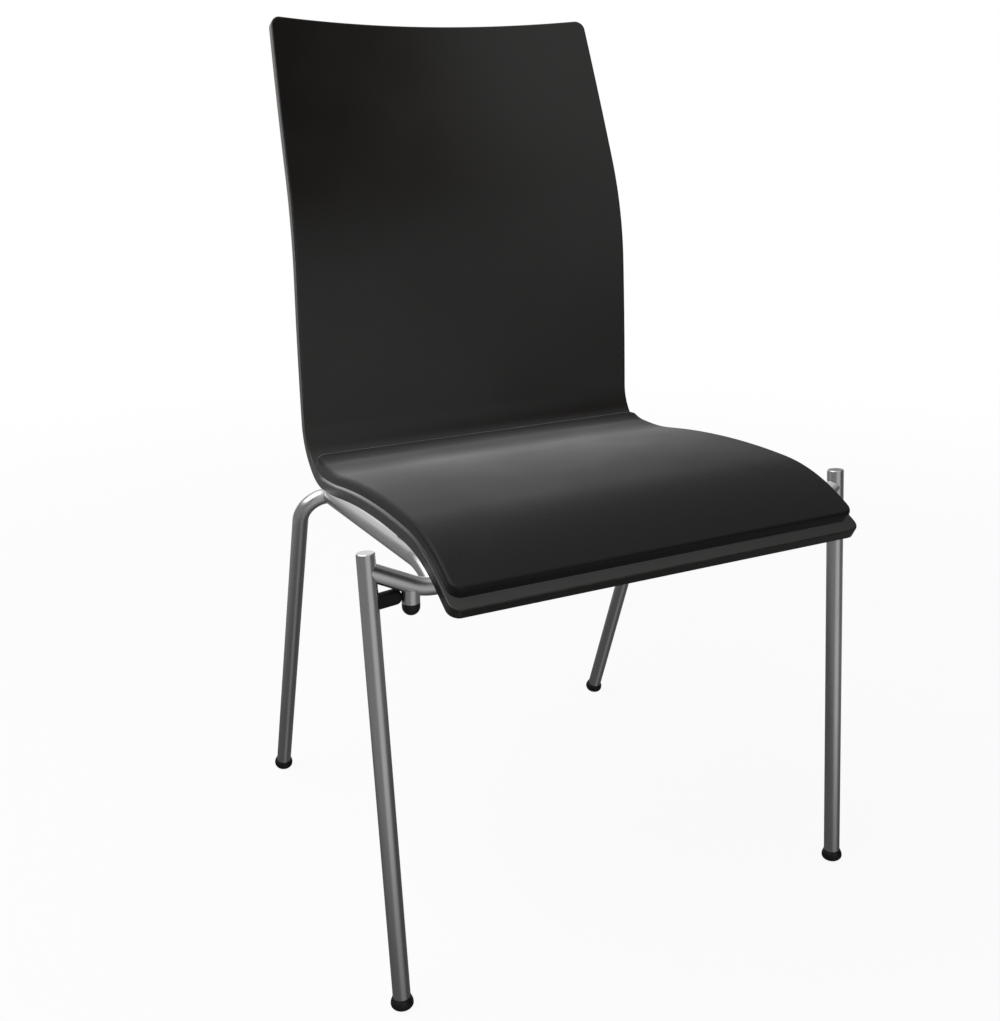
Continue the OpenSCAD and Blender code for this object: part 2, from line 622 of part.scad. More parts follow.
// Depth of a fixing screw's head seat below the underside of the shell
function seat_depth(s) = s == front_fixing_s ? 2 * sheet_gap + spacer_h + plate_t : sheet_gap + plate_t;
module fixing_screws() {
  color("silver") placed() for (f = fixings)
    on_shell(f[0], f[1], -shell_t / 2 - seat_depth(f[1])) {
      rod(screw_d / 2, seat_depth(f[1]) + insert_len - screw_gap);
      translate([0, 0, -screw_head_h]) difference() {
        rod(screw_head_d / 2, screw_head_h);
        translate([0, 0, -over]) cylinder(r = screw_d / 3, h = screw_head_h / 2 + over, $fn = 6);
      }
    }
}
module shell_inserts() {
  color("gold") placed() for (f = fixings) on_shell(f[0], f[1], -shell_t / 2) difference() {
    rod(insert_d / 2, insert_len);
    translate([0, 0, -over]) rod(screw_d / 2 + fit_gap, insert_len + 2 * over);
  }
}

// One-piece seat and back of moulded plywood, with holes for the inserts and the pad screws
module seat_shell() {
  color("#2b2927") placed() difference() {
    polyhedron(points = concat(shell_front, shell_back),
      faces = grid_faces(len(shell_rows), col_count(shell_rim, across_shares)), convexity = 6);
    for (f = fixings) on_shell(f[0], f[1], -shell_t / 2 - over)
      rod(insert_d / 2 + fit_gap, insert_len + over + fit_gap);
    for (f = pad_screw_places) on_shell(f[0], f[1], -shell_t / 2 - over)
      rod(pad_screw_d / 2 + screw_gap, shell_t + 2 * over);
  }
}

// Carrier board of the pad, lying on the seat
board_rim = [board_t / 2, 0];
board_rows = sheet_rows(board_o, board_rim);
function board_face(h) =
  [for (s = board_rows) for (x = sheet_cols(board_o, board_rim, pad_across_shares, s)) on_sheet(s, x, h)];
module pad_board() {
  color("burlywood") placed() difference() {
    polyhedron(points = concat(board_face(board_top), board_face(pad_low)),
      faces = grid_faces(len(board_rows), col_count(board_rim, pad_across_shares)), convexity = 6);
    for (f = pad_screw_places) on_shell(f[0], f[1], pad_low - over)
      rod(pad_screw_d / 2 + fit_gap, board_t + 2 * over);
  }
}

// Upholstered pad: crowned on top, rounded at its edge, hollow below for the carrier board
pocket_rim = [board_inset - pocket_wall, board_inset - 2 * pocket_wall];
pad_rim = concat(pocket_rim, pad_edge_r * rim_shares);
pad_rows = sheet_rows(pad_o, pad_rim);
function crown(s, x) =
  let (u = (s - pad_o[0]) / (pad_o[1] - pad_o[0]), f = x / half_w(s))
  pad_crown * (1 - f * f) * sin(180 * u);
function pad_top(s, x) = pad_low + pad_h + crown(s, x) - rounding(pad_edge_r, edge_gap(pad_o, s, x));
function over_board(s, x) =
  let (d = (pocket_rim[0] + pocket_rim[1]) / 2)
  s > pad_o[0] + d && s < pad_o[1] - d && abs(x) < sheet_w(pad_o, s) - d;
function pad_under(s, x) = over_board(s, x) ? board_top + sheet_gap : pad_low;
module seat_pad() {
  color("#191919") placed() polyhedron(
    points = concat(
      [for (s = pad_rows) for (x = sheet_cols(pad_o, pad_rim, pad_across_shares, s))
        on_sheet(s, x, pad_top(s, x))],
      [for (s = pad_rows) for (x = sheet_cols(pad_o, pad_rim, pad_across_shares, s))
        on_sheet(s, x, pad_under(s, x))]),
    faces = grid_faces(len(pad_rows), col_count(pad_rim, pad_across_shares)), convexity = 6);
}
module pad_screws() {
  color("silver") placed() for (f = pad_screw_places)
    on_shell(f[0], f[1], -shell_t / 2 - sheet_gap / 2) {
      translate([0, 0, -pad_screw_head_h]) rod(pad_screw_head_d / 2, pad_screw_head_h);
      rod(pad_screw_d / 2, shell_t + sheet_gap + board_t);
    }
}

front_leg(-1);  // front_leg_right
front_leg(1);  // front_leg_left
front_leg_cap(-1);  // front_leg_cap_right
front_leg_cap(1);  // front_leg_cap_left
front_cross_tube();
rear_leg_frame();
side_rail(-1);  // side_rail_right
side_rail(1);  // side_rail_left
glide_front(-1);  // glide_front_right
glide_front(1);  // glide_front_left
glide_rear(-1);  // glide_rear_right
glide_rear(1);  // glide_rear_left
stacking_peg(-1);  // stacking_peg_right
stacking_peg(1);  // stacking_peg_left
peg_cap(-1);  // peg_cap_right
peg_cap(1);  // peg_cap_left
buffer_pin(-1);  // buffer_pin_right
buffer_pin(1);  // buffer_pin_left
buffer_sleeve(-1);  // buffer_sleeve_right
buffer_sleeve(1);  // buffer_sleeve_left
front_plate(-1);  // front_plate_right
front_plate(1);  // front_plate_left
rear_plate(-1);  // rear_plate_right
rear_plate(1);  // rear_plate_left
front_spacers();
fixing_screws();
shell_inserts();
seat_shell();
pad_board();
seat_pad();
pad_screws();
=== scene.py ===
import json
import math
import bpy
from mathutils import Euler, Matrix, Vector


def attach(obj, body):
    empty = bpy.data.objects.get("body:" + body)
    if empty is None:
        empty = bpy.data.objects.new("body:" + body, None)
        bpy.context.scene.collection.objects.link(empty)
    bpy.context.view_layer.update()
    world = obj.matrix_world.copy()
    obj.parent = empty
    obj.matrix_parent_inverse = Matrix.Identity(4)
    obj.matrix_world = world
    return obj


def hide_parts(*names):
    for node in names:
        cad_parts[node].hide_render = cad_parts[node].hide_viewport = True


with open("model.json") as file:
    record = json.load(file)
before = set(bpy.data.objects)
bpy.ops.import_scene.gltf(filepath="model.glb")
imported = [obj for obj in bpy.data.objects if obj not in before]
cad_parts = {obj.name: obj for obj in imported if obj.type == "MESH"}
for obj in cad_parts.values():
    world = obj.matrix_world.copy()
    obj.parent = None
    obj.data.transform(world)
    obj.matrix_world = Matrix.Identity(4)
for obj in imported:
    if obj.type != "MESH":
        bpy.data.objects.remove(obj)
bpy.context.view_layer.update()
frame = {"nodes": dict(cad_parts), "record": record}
nodes = frame["nodes"]
MM = 0.001
BODY = "root"
WHITE = (1.0, 1.0, 1.0, 1.0)

# Camera of the photograph, in millimetres and degrees
CAMERA_PLACE = (-636.07, -1183.39, 883.08)
CAMERA_TURN = 26.659
CAMERA_DIP = 19.562
CAMERA_ROLL = -0.105
CAMERA_LENS = 43.64
SENSOR = 36.0

# Outline of the shell along the middle of its ply at the side edge, in millimetres and
# degrees, from the front lip to the top of the back. Each run is its radius, or none for a
# straight, and its length or the slope at which it ends.
LIP = (-281.35, 433.39)
LIP_SLOPE = 27.3
RUNS = [(None, 34.3), (182.8, 0.3), (1021.6, -11.2), (485.0, -3.9),
        (57.9, 87.1), (None, 160.7), (386.4, 68.9), (None, 174.5)]
# The run that bends up from the seat to the back
BEND_RUN = 4
SHELL_T = 12.0
SHELL_EDGE_R = 1.2
# Thickness of one veneer
VENEER_T = 1.5
# Half the width of the shell at the lip, and how much it narrows to the bend and on to the top
SEAT_HALF_W = 231.5
WAIST_TAPER = 13.5
TOP_TAPER = 18.0
# Depth of the hollow across the top of the back
BACK_HOLLOW = 25.0
FRONT_CORNER_R = 12.0
TOP_CORNER_R = 11.0
# Rows of points round each corner of a sheet, and the room kept between them and the next row
CORNER_ROWS = 5
CORNER_ROOM = 1.0

# Pad on the seat, in millimetres
PAD_GAP = 0.3
PAD_H = 12.5
PAD_CROWN = 2.0
PAD_EDGE_R = 4.0
PAD_SIDE_INSET = 3.2
PAD_DRAW_IN = 1.0
PAD_FRONT_INSET = 13.0
PAD_FRONT_CORNER_R = 13.0
PAD_REAR_CORNER_R = 10.0
# The pad ends at this share of the bend
PAD_RISE = 0.46
# The foam bridges the bend behind the sitter by this much, over this length, and most at this
# distance past the start of the bend
PAD_BRIDGE = 3.5
PAD_BRIDGE_LEN = 35.0
PAD_BRIDGE_AT = 10.0
# The cover starts this much lower than the pad, the foam's pressure fills it, and it swells by
# this much at most
PAD_SLACK = 0.6
PAD_PRESSURE = 4.0
PAD_SWELL = 1.2
SETTLE_FRAMES = 20

# Noise stays between these values almost everywhere
NOISE_LOW = 0.3
NOISE_HIGH = 0.7

# Light of the room, where white is 1. The first level lights the object. Metal and gloss show
# the others: the front, the sides, the shares left of these on the dark side and on the floor
# there, the backdrop low behind the chair, and the wall above it and the ceiling.
ROOM_LEVEL = 0.25
FRONT_LEVEL = 0.62
SIDE_LEVEL = 0.27
DARK_SHARE = 0.08
DARK_FLOOR_SHARE = 0.75
BACKDROP_LEVEL = 1.35
HIGH_LEVEL = 0.85
# The middle of each part of the room, and the cosines of the angles from it between which the
# part fades in
FRONT_WAY = (0.145, -0.99, 0.0)
FRONT_FADE = (0.75, 0.97)
DARK_WAY = (0.852, -0.523, 0.0)
DARK_FADE = (0.84, 0.91)
BACKDROP_WAY = (0.174, 0.985, 0.0)
BACKDROP_FADE = (0.85, 0.95)
# Heights between which each of these fades into what lies above it, where straight up is 1
DARK_FLOOR_TOP = (-0.25, -0.08)
FLOOR_BEHIND_TOP = (-0.35, -0.1)
BACKDROP_TOP = (0.02, 0.3)
WALL_TOP = (0.65, 0.9)
FLOOR_SIZE = 12.0
# Painted shade under the chair, seen only in metal and gloss: they show the floor there at this
# share of the room's level, which grows to 1 between these distances, in metres
UNDER_SHADE_LEVEL = 0.4
UNDER_SHADE_REACH = (0.25, 1.1)
# The camera sees the floor white by this share near the chair, which grows to 1 between these
# distances, in metres
FLOOR_SHARE = 0.93
FLOOR_REACH = (0.9, 2.6)


def make_camera():
    """The photograph's camera: turned to the right of +Y, dipped and slightly rolled."""
    data = bpy.data.cameras.new("camera")
    data.lens = CAMERA_LENS
    data.sensor_width = SENSOR
    data.clip_start = 0.05
    data.clip_end = 60.0
    camera = bpy.data.objects.new("camera", data)
    camera.location = Vector(CAMERA_PLACE) * MM
    turn = Euler((0, 0, math.radians(-CAMERA_TURN))).to_matrix()
    dip = Euler((math.radians(90 - CAMERA_DIP), 0, 0)).to_matrix()
    roll = Euler((0, 0, math.radians(CAMERA_ROLL))).to_matrix()
    camera.rotation_euler = (turn @ dip @ roll).to_euler("XYZ")
    bpy.context.scene.collection.objects.link(camera)
    bpy.context.scene.camera = camera


# Materials

def linear(code):
    """An sRGB hex value as the linear colour that a shader socket takes."""
    parts = [int(code[i:i + 2], 16) / 255 for i in (1, 3, 5)]
    return [*(c / 12.92 if c <= 0.04045 else ((c + 0.055) / 1.055) ** 2.4 for c in parts), 1.0]


def grey(level):
    """A neutral linear colour of the given level."""
    return [level] * 3 + [1.0]


def add(tree, kind, inputs=None, output=0, **settings):
    """Adds a node with its settings, sets or links its inputs, and returns one of its outputs."""
    node = tree.nodes.new("ShaderNode" + kind)
    for name, value in settings.items():
        setattr(node, name, value)
    for name, value in (inputs or {}).items():
        if isinstance(value, bpy.types.NodeSocket):
            tree.links.new(value, node.inputs[name])
        else:
            node.inputs[name].default_value = value
    return node.outputs[output] if len(node.outputs) else node


def new_material(name):
    """An empty node material and its tree."""
    made = bpy.data.materials.new(name)
    made.use_nodes = True
    made.node_tree.nodes.clear()
    return made, made.node_tree


def satin_chrome():
    """Satin chrome plate on the frame's steel. It is bright but soft, with a blasted grain under
    the plate."""
    made, tree = new_material("satin_chrome_plate")
    where = add(tree, "TexCoord", output="Object")
    # The grain is finer than a pixel, so it is drawn at 1 mm
    grain = add(tree, "TexNoise", {"Vector": where, "Scale": 1 / (1.0 * MM), "Detail": 3.0})
    # Handling leaves patches about 50 mm long with a slightly different sheen
    patches = add(tree, "TexNoise", {"Vector": where, "Scale": 1 / (50 * MM), "Detail": 2.0})
    rough = add(tree, "MapRange", {"Value": patches, "From Min": NOISE_LOW, "From Max": NOISE_HIGH,
                                   "To Min": 0.24, "To Max": 0.32})
    tone = add(tree, "MixRGB", {"Fac": grain, "Color1": linear("#bfbfc0"), "Color2": linear("#c7c7c7")})
    relief = add(tree, "Bump", {"Height": grain, "Strength": 0.08, "Distance": 0.03 * MM})
    shader = add(tree, "BsdfPrincipled", {
        "Base Color": tone, "Metallic": 1.0, "Roughness": rough, "Normal": relief})
    add(tree, "OutputMaterial", {"Surface": shader})
    return made


def stained_beech_ply():
    """Moulded beech plywood with a black-brown stain under a satin clear coat. The grain runs along
    the sheet and barely shows. The veneers show at the edges. Their arrises are paler brown in
    spots: partly worn stain, partly a painted highlight."""
    made, tree = new_material("stained_beech_ply")
    sheet = add(tree, "UVMap", uv_map="sheet")
    # Growth lines about 3 mm apart and 200 mm long
    lines_at = add(tree, "Mapping", {"Vector": sheet, "Scale": (1 / (3 * MM), 1 / (200 * MM), 1.0)})
    lines = add(tree, "TexNoise", {"Vector": lines_at, "Scale": 1.0, "Detail": 4.0, "Distortion": 0.4})
    figure = add(tree, "MixRGB", {"Fac": lines, "Color1": linear("#1a1816"), "Color2": linear("#1e1b19")})
    # Pores 0.5 mm wide and 6 mm long, drawn coarser than real ones, so that they show
    pores_at = add(tree, "Mapping", {"Vector": sheet, "Scale": (1 / (0.5 * MM), 1 / (6 * MM), 1.0)})
    pores = add(tree, "TexNoise", {"Vector": pores_at, "Scale": 1.0, "Detail": 2.0})
    pores = add(tree, "MapRange", {"Value": pores, "From Min": 0.6, "From Max": 0.8})
    face = add(tree, "MixRGB", {"Fac": pores, "Color1": figure, "Color2": linear("#141211")})
    # Height in the ply: the veneers show at the edge, every second one as end grain
    level = add(tree, "SeparateXYZ", {"Vector": add(tree, "UVMap", uv_map="ply")}, output="Y")
    depth = add(tree, "Math", {0: level}, operation="ABSOLUTE")
    turned = add(tree, "Math", {0: level, 1: VENEER_T * MM}, operation="PINGPONG")
    end_grain = add(tree, "MapRange", {"Value": turned, "From Min": 0.4 * VENEER_T * MM,
                                       "From Max": 0.6 * VENEER_T * MM, "To Max": 0.7})
    veneers = add(tree, "MixRGB", {"Fac": end_grain, "Color1": figure, "Color2": linear("#100e0d")})
    edge_depth = (SHELL_T / 2 - SHELL_EDGE_R) * MM
    in_edge = add(tree, "Math", {0: depth, 1: edge_depth}, operation="LESS_THAN")
    colour = add(tree, "MixRGB", {"Fac": in_edge, "Color1": face, "Color2": veneers})
    # The arrises are paler brown in spots about 25 mm long: partly stain worn thin, partly a painted
    # highlight. The faces, which lie less than 0.02 mm deep, keep the whole stain.
    near = add(tree, "MapRange", {"Value": depth, "From Min": edge_depth,
                                  "From Max": (SHELL_T / 2 - 0.4 * SHELL_EDGE_R) * MM})
    off_face = add(tree, "Math", {0: depth, 1: (SHELL_T / 2 - 0.02) * MM}, operation="LESS_THAN")
    arris = add(tree, "Math", {0: near, 1: off_face}, operation="MULTIPLY")
    worn_and_highlit_spots = add(tree, "TexNoise", {"Vector": sheet, "Scale": 1 / (25 * MM), "Detail": 3.0})
    worn_and_highlit_spots = add(tree, "MapRange", {"Value": worn_and_highlit_spots, "From Min": 0.45, "From Max": 0.75, "To Max": 0.5})
    worn_and_highlit_arris = add(tree, "Math", {0: arris, 1: worn_and_highlit_spots}, operation="MULTIPLY")
    # Painted highlight and worn stain: paler brown on the arrises
    colour = add(tree, "MixRGB", {"Fac": worn_and_highlit_arris, "Color1": colour, "Color2": linear("#57493d")})
    relief = add(tree, "Bump", {"Height": pores, "Strength": 0.15, "Distance": -0.02 * MM})
    # Wear leaves patches about 90 mm across with a slightly different sheen
    wear = add(tree, "TexNoise", {"Vector": sheet, "Scale": 1 / (90 * MM), "Detail": 3.0})
    rough = add(tree, "MapRange", {"Value": wear, "From Min": NOISE_LOW, "From Max": NOISE_HIGH,
                                   "To Min": 0.27, "To Max": 0.32})
    shader = add(tree, "BsdfPrincipled", {
        "Base Color": colour, "Roughness": rough, "Normal": relief})
    add(tree, "OutputMaterial", {"Surface": shader})
    return made


def pad_leather():
    """Black upholstery leather with a fine pebbled grain. Its finish shines softly at a low angle."""
    made, tree = new_material("pad_leather")
    where = add(tree, "TexCoord", output="Object")
    # Pebbles drawn 1.3 mm across, about a pixel, so that the fine grain shows
    pebbles = add(tree, "TexVoronoi", {"Vector": where, "Scale": 1 / (1.3 * MM), "Smoothness": 0.6},
                  feature="SMOOTH_F1")
    # Creases between the pebbles wander about every 4 mm
    creases = add(tree, "TexNoise", {"Vector": where, "Scale": 1 / (4 * MM), "Detail": 5.0,
                                     "Roughness": 0.6})
    height = add(tree, "Math", {0: pebbles, 1: creases}, operation="ADD")
    relief = add(tree, "Bump", {"Height": height, "Strength": 0.6, "Distance": 0.16 * MM})
    tone = add(tree, "MixRGB", {"Fac": creases, "Color1": linear("#121212"), "Color2": linear("#1c1c1c")})
    # Sitting polishes patches about 120 mm across
    polish = add(tree, "TexNoise", {"Vector": where, "Scale": 1 / (120 * MM), "Detail": 2.0})
    rough = add(tree, "MapRange", {"Value": polish, "From Min": NOISE_LOW, "From Max": NOISE_HIGH,
                                   "To Min": 0.4, "To Max": 0.47})
    shader = add(tree, "BsdfPrincipled", {
        "Base Color": tone, "Roughness": rough, "Normal": relief, "Specular IOR Level": 0.18,
        "Sheen Weight": 0.12, "Sheen Roughness": 0.3, "Sheen Tint": WHITE})
    add(tree, "OutputMaterial", {"Surface": shader})
    return made


def black_polyamide():
    """Black moulded polyamide with a fine spark-eroded texture, scuffed within 5 mm of the floor."""
    made, tree = new_material("black_polyamide")
    where = add(tree, "TexCoord", output="Object")
    # The texture's pits are finer than a pixel, so they are drawn at 0.8 mm
    texture = add(tree, "TexNoise", {"Vector": where, "Scale": 1 / (0.8 * MM), "Detail": 4.0})
    relief = add(tree, "Bump", {"Height": texture, "Strength": 0.2, "Distance": 0.05 * MM})
    rough = add(tree, "MapRange", {"Value": texture, "From Min": NOISE_LOW, "From Max": NOISE_HIGH,
                                   "To Min": 0.42, "To Max": 0.54})
    height = add(tree, "SeparateXYZ", {"Vector": where}, output="Z")
    # Scuffs about 3 mm across
    scuffs = add(tree, "TexNoise", {"Vector": where, "Scale": 1 / (3 * MM), "Detail": 6.0})
    low = add(tree, "MapRange", {"Value": height, "From Min": 0.0, "From Max": 5 * MM,
                                 "To Min": 0.5, "To Max": 0.0})
    worn = add(tree, "Math", {0: low, 1: scuffs}, operation="MULTIPLY")
    tone = add(tree, "MixRGB", {"Fac": worn, "Color1": linear("#141414"), "Color2": linear("#3a3937")})
    shader = add(tree, "BsdfPrincipled", {
        "Base Color": tone, "Roughness": rough, "Normal": relief, "Specular IOR Level": 0.35})
    add(tree, "OutputMaterial", {"Surface": shader})
    return made


def moulded_rubber():
    """Black moulded rubber: dull, with a faint bloom."""
    made, tree = new_material("moulded_rubber")
    where = add(tree, "TexCoord", output="Object")
    # Bloom in spots about 6 mm across
    bloom = add(tree, "TexNoise", {"Vector": where, "Scale": 1 / (6 * MM), "Detail": 5.0})
    tone = add(tree, "MixRGB", {"Fac": bloom, "Color1": linear("#101010"), "Color2": linear("#1a1a19")})
    relief = add(tree, "Bump", {"Height": bloom, "Strength": 0.1, "Distance": 0.1 * MM})
    shader = add(tree, "BsdfPrincipled", {
        "Base Color": tone, "Roughness": 0.6, "Normal": relief, "Specular IOR Level": 0.3})
    add(tree, "OutputMaterial", {"Surface": shader})
    return made


def zinc_plate():
    """Zinc plated steel of the screws: pale, slightly blue and blotchy."""
    made, tree = new_material("zinc_plate")
    where = add(tree, "TexCoord", output="Object")
    # Blotches about 2 mm across
    blotches = add(tree, "TexNoise", {"Vector": where, "Scale": 1 / (2 * MM), "Detail": 4.0})
    tone = add(tree, "MixRGB", {"Fac": blotches, "Color1": linear("#a3a6aa"), "Color2": linear("#b9bbbd")})
    rough = add(tree, "MapRange", {"Value": blotches, "From Min": NOISE_LOW, "From Max": NOISE_HIGH,
                                   "To Min": 0.3, "To Max": 0.45})
    shader = add(tree, "BsdfPrincipled", {"Base Color": tone, "Metallic": 1.0, "Roughness": rough})
    add(tree, "OutputMaterial", {"Surface": shader})
    return made


def turned_brass():
    """Turned brass of the inserts, with fine tool marks."""
    made, tree = new_material("turned_brass")
    where = add(tree, "TexCoord", output="Object")
    # Tool marks 0.19 mm apart, because the wave repeats about 3.2 times in each 0.6 mm
    marks = add(tree, "TexWave", {"Vector": where, "Scale": 1 / (0.6 * MM)}, bands_direction="Z")
    relief = add(tree, "Bump", {"Height": marks, "Strength": 0.1, "Distance": 0.02 * MM})
    # Tarnish in spots about 3 mm across
    tarnish = add(tree, "TexNoise", {"Vector": where, "Scale": 1 / (3 * MM), "Detail": 3.0})
    tone = add(tree, "MixRGB", {"Fac": tarnish, "Color1": linear("#b5924c"), "Color2": linear("#c8a45c")})
    shader = add(tree, "BsdfPrincipled", {
        "Base Color": tone, "Metallic": 1.0, "Roughness": 0.3, "Normal": relief})
    add(tree, "OutputMaterial", {"Surface": shader})
    return made


def raw_birch_ply():
    """Raw birch plywood of the board inside the pad: pale and dull, with faint grain."""
    made, tree = new_material("raw_birch_ply")
    where = add(tree, "TexCoord", output="Object")
    # Growth lines about 4 mm apart and 120 mm long, in veneers 1.3 mm thick
    along = add(tree, "Mapping", {
        "Vector": where, "Scale": (1 / (4 * MM), 1 / (120 * MM), 1 / (1.3 * MM))})
    grain = add(tree, "TexNoise", {"Vector": along, "Scale": 1.0, "Detail": 4.0})
    tone = add(tree, "MixRGB", {"Fac": grain, "Color1": linear("#a98a62"), "Color2": linear("#c7ab83")})
    shader = add(tree, "BsdfPrincipled", {"Base Color": tone, "Roughness": 0.7})
    add(tree, "OutputMaterial", {"Surface": shader})
    return made


# Sheets: the shell and the pad follow one outline

def make_starts():
    """The distance, place and slope at which each run of the outline starts, and then its end."""
    s, y, z, slope = 0.0, *LIP, LIP_SLOPE
    starts = []
    for radius, reach in RUNS:
        starts.append((s, y, z, slope))
        end = slope if radius is None else reach
        length = reach if radius is None else radius * math.radians(abs(end - slope))
        half = math.radians(abs(end - slope) / 2)
        chord = length if half == 0 else length * math.sin(half) / half
        middle = math.radians((slope + end) / 2)
        s, y, z, slope = s + length, y + chord * math.cos(middle), z + chord * math.sin(middle), end
    return starts + [(s, y, z, slope)]


STARTS = make_starts()
BEND_S = STARTS[BEND_RUN][0]
WAIST_S = STARTS[BEND_RUN + 1][0]
TOP_S = STARTS[-1][0]
NARROW_S = (BEND_S + WAIST_S) / 2
PAD_END_S = BEND_S + PAD_RISE * (WAIST_S - BEND_S)


def outline(s):
    """Place and slope of the outline at distance s, in millimetres and radians."""
    i = max(k for k in range(len(RUNS)) if k == 0 or s >= STARTS[k][0])
    s0, y, z, slope0 = STARTS[i]
    s1, slope1 = STARTS[i + 1][0], STARTS[i + 1][3]
    slope = slope0 + (slope1 - slope0) * (s - s0) / (s1 - s0)
    half = math.radians(abs(slope - slope0) / 2)
    chord = (s - s0) * (math.sin(half) / half if half > 0 else 1.0)
    middle = math.radians((slope + slope0) / 2)
    return y + chord * math.cos(middle), z + chord * math.sin(middle), math.radians(slope)


def half_width(s):
    """Half the width of the shell at distance s."""
    if s < NARROW_S:
        return SEAT_HALF_W - WAIST_TAPER * s / NARROW_S
    u = (s - NARROW_S) / (TOP_S - NARROW_S)
    return SEAT_HALF_W - WAIST_TAPER - TOP_TAPER * u * u


def on_sheet(s, x, h):
    """The point, in metres, at distance s along the outline and x across, h in front of the middle
    of the ply. The back is hollow across, more and more from the waist to the top."""
    y, z, slope = outline(s)
    u = min(1.0, max(0.0, (s - WAIST_S) / (TOP_S - WAIST_S)))
    hollow = BACK_HOLLOW * u * u * (3 - 2 * u) * (1 - (x / half_width(s)) ** 2)
    d = h - hollow
    return Vector((x, y - math.sin(slope) * d, z + math.cos(slope) * d)) * MM


class Sheet:
    """A piece that follows the outline from s0 to s1, with rounded corners and edges. It lies
    inset from the shell's sides, and its own sides draw in between its ends."""

    def __init__(self, s0, s1, corner0, corner1, inset, draw_in, edge_r):
        self.s0, self.s1, self.corner0, self.corner1 = s0, s1, corner0, corner1
        self.inset, self.draw_in, self.edge_r = inset, draw_in, edge_r

    def full(self, s):
        """Half width without the corners."""
        drawn = self.draw_in * math.sin(math.pi * (s - self.s0) / (self.s1 - self.s0))
        return half_width(s) - self.inset - drawn

    def width(self, s):
        """Half width with the corners cut."""
        cut = 0.0
        for r, b in ((self.corner0, s - self.s0), (self.corner1, self.s1 - s)):
            if b < r:
                cut += r - math.sqrt(max(0.0, r * r - (r - b) ** 2))
        return self.full(s) - cut

    def lost(self, s, x):
        """Height lost at a point where the edge is rounded."""
        a = self.full(s) - abs(x)
        b = min(s - self.s0, self.s1 - s)
        r = self.corner0 if s - self.s0 < self.s1 - s else self.corner1
        gap = r - math.hypot(r - a, r - b) if a < r and b < r else min(a, b)
        short = max(0.0, self.edge_r - gap)
        return self.edge_r - math.sqrt(max(0.0, self.edge_r ** 2 - short ** 2))

    def rows(self, turn, length, rim):
        """Distances along the sheet: its rim, its corners, and even facets of every run, which
        turn by no more than turn degrees and are no longer than length."""
        ends = [self.s0 + d for d in rim] + [self.s1 - d for d in rim]
        for r, at, way in ((self.corner0, self.s0, 1), (self.corner1, self.s1, -1)):
            ends += [at + way * (rim[-1] + (r - rim[-1]) * k / CORNER_ROWS)
                     for k in range(1, CORNER_ROWS + 1)]
        inside = []
        low, high = self.s0 + self.corner0 + CORNER_ROOM, self.s1 - self.corner1 - CORNER_ROOM
        for start, after in zip(STARTS, STARTS[1:]):
            run = after[0] - start[0]
            n = max(1, math.ceil(max(abs(after[3] - start[3]) / turn, run / length)))
            inside += [start[0] + run * k / n for k in range(n)]
        return sorted(ends + [s for s in inside if low < s < high])

    def columns(self, s, shares, rim):
        """Places across the sheet at distance s: each half in equal shares, and its rim."""
        w = self.width(s)
        side = [(w - rim[-1]) * k / shares for k in range(1, shares)] + [w - d for d in reversed(rim)]
        return [-x for x in reversed(side)] + [0.0] + side


def sheet_mesh(name, sheet, front, back, turn, length, shares, rim, wall):
    """A closed mesh between the heights front(s, x) and back(s, x). The list wall holds the shares
    of the height at which its wall is divided. The map "sheet" holds the place across and along
    the sheet, and "ply" the place along it and the height, both in metres. Returns the piece and
    the points of its wall and underside."""
    rows = sheet.rows(turn, length, rim)
    grid = [(s, x) for s in rows for x in sheet.columns(s, shares, rim)]
    m = len(grid) // len(rows)
    n = len(grid)
    last = (len(rows) - 1) * m
    border = list(range(m)) + [i * m + m - 1 for i in range(1, len(rows))]
    border += [last + j for j in range(m - 2, -1, -1)] + [i * m for i in range(len(rows) - 2, 0, -1)]
    places = [(s, x, front(s, x)) for s, x in grid] + [(s, x, back(s, x)) for s, x in grid]
    for share in wall:
        for a in border:
            s, x, high = places[a]
            places.append((s, x, high + share * (places[n + a][2] - high)))
    faces = []
    for i in range(len(rows) - 1):
        for a in range(i * m, i * m + m - 1):
            faces.append((a, a + 1, a + m + 1, a + m))
            faces.append((n + a, n + a + m, n + a + m + 1, n + a + 1))
    rings = [border]
    rings += [range(2 * n + k * len(border), 2 * n + (k + 1) * len(border)) for k in range(len(wall))]
    rings.append([n + a for a in border])
    for upper, lower in zip(rings, rings[1:]):
        for k in range(len(border)):
            after = (k + 1) % len(border)
            faces.append((upper[k], lower[k], lower[after], upper[after]))
    mesh = bpy.data.meshes.new(name)
    mesh.from_pydata([on_sheet(*place) for place in places], [], faces)
    sheet_uv = mesh.uv_layers.new(name="sheet")
    ply_uv = mesh.uv_layers.new(name="ply")
    for loop in mesh.loops:
        s, x, h = places[loop.vertex_index]
        sheet_uv.data[loop.index].uv = (x * MM, s * MM)
        ply_uv.data[loop.index].uv = (s * MM, h * MM)
    mesh.polygons.foreach_set("use_smooth", [True] * len(mesh.polygons))
    mesh.update()
    made = bpy.data.objects.new(name, mesh)
    bpy.context.scene.collection.objects.link(made)
    return made, border + list(range(n, len(places)))


def dress(piece, material, slot, *replaced):
    """Gives a new piece its material and body, and hides the CAD nodes that it stands for."""
    # The photograph shows neither the seat nor the back mirrored in the tubes or in each other
    piece.visible_glossy = False
    piece.data.materials.clear()
    piece.data.materials.append(material)
    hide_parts(*replaced)
    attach(piece, BODY)


def round_rim(radius, degrees, margin):
    """Distances from the edge at which a rounded edge turns by the given angles, and one beyond it."""
    return [radius * (1 - math.cos(math.radians(a))) for a in degrees] + [radius + margin]


